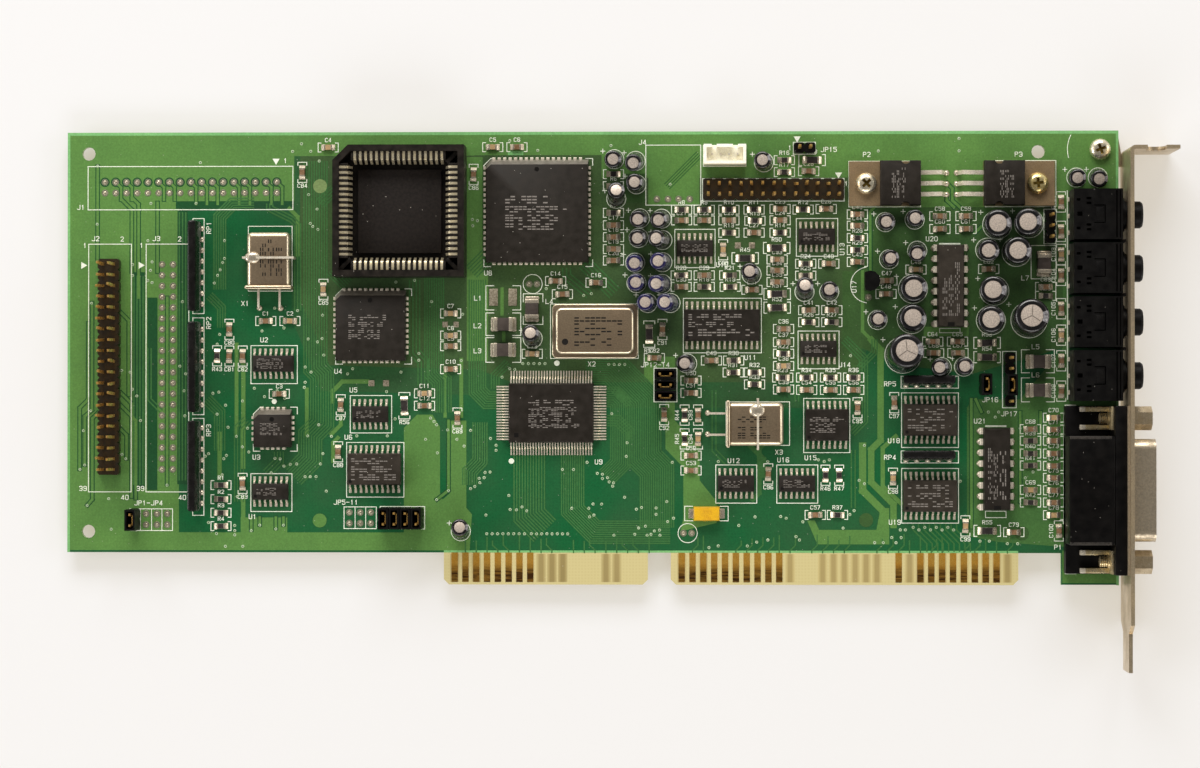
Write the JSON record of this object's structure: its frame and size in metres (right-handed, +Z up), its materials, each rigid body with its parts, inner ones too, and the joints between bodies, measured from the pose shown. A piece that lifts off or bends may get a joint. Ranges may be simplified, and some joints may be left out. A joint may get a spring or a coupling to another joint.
{
  "type": "isa sound card",
  "caption": "Full-size plug-in sound card with an edge contact tongue, a slotted steel bracket, round audio jacks, a game port, pin headers and a board full of chips and capacitors.",
  "frame": {"origin": "bottom centre of the card's box as it lies flat with its component side up", "axes": "+X along the board towards the bracket, +Y across the board away from the contact tongue, +Z up from the component face"},
  "size_m": [0.2594, 0.1262, 0.0184],
  "materials": {
    "board_laminate": "satin solder mask",
    "contact_gold": "worn plating",
    "bracket_steel": "dull plated",
    "yellow_zinc": "yellow zinc plated",
    "black_moulding": "moulded",
    "port_tin": "dull tin plated",
    "pin_gold": "thin gold flash",
    "lead_tin": "tinned",
    "chip_epoxy": "moulded epoxy",
    "network_coating": "dipped",
    "inductor_block": "moulded",
    "can_black": "shrink sleeve",
    "can_blue": "shrink sleeve",
    "can_nickel": "nickel plated",
    "white_nylon": "moulded",
    "tantalum_yellow": "moulded",
    "regulator_copper": "tarnished plating"
  },
  "bodies": {
    "root": {"amplifier_chip": "chip_epoxy", "audio_jack_1": "black_moulding", "audio_jack_2": "black_moulding", "audio_jack_3": "black_moulding", "audio_jack_4": "black_moulding", "audio_socket": "white_nylon", "audio_socket_pins": "lead_tin", "blue_electrolytics": "can_blue", "board_clips": "port_tin", "bracket_electrolytics": "can_black", "buffer_chips": "chip_epoxy", "bus_chip": "chip_epoxy", "chip_inductors": "inductor_block", "chip_socket": "black_moulding", "chip_socket_blades": "lead_tin", "circuit_board": "board_laminate", "codec_chip": "chip_epoxy", "controller_chip": "chip_epoxy", "converter_chip": "chip_epoxy", "crystal_1": "can_nickel", "crystal_2": "can_nickel", "crystal_wires": "lead_tin", "decoder_chip": "chip_epoxy", "drive_header_base": "black_moulding", "drive_header_pins": "pin_gold", "edge_contacts": "contact_gold", "feature_header_base": "black_moulding", "feature_header_pins": "pin_gold", "game_port_housing": "black_moulding", "game_port_insulator": "black_moulding", "game_port_shell": "port_tin", "jack_posts": "port_tin", "jumper_bases": "black_moulding", "jumper_caps": "black_moulding", "jumper_pins": "pin_gold", "large_electrolytics": "can_black", "logic_chips": "chip_epoxy", "medium_electrolytics": "can_black", "mixer_chip": "chip_epoxy", "mixer_electrolytics": "can_black", "mounting_bracket": "bracket_steel", "oscillator_can": "can_nickel", "output_electrolytics": "can_black", "pan_screws": "yellow_zinc", "regulator_body_1": "chip_epoxy", "regulator_body_2": "chip_epoxy", "regulator_leads": "lead_tin", "regulator_nuts": "yellow_zinc", "regulator_plate_1": "regulator_copper", "regulator_plate_2": "regulator_copper", "resistor_networks": "network_coating", "short_electrolytic": "can_black", "supply_electrolytics": "can_black", "tantalum_capacitor": "tantalum_yellow", "timer_chip": "chip_epoxy", "transistor": "chip_epoxy", "transistor_leads": "lead_tin", "two_row_chip_leads": "lead_tin"}
  },
  "joints": []
}
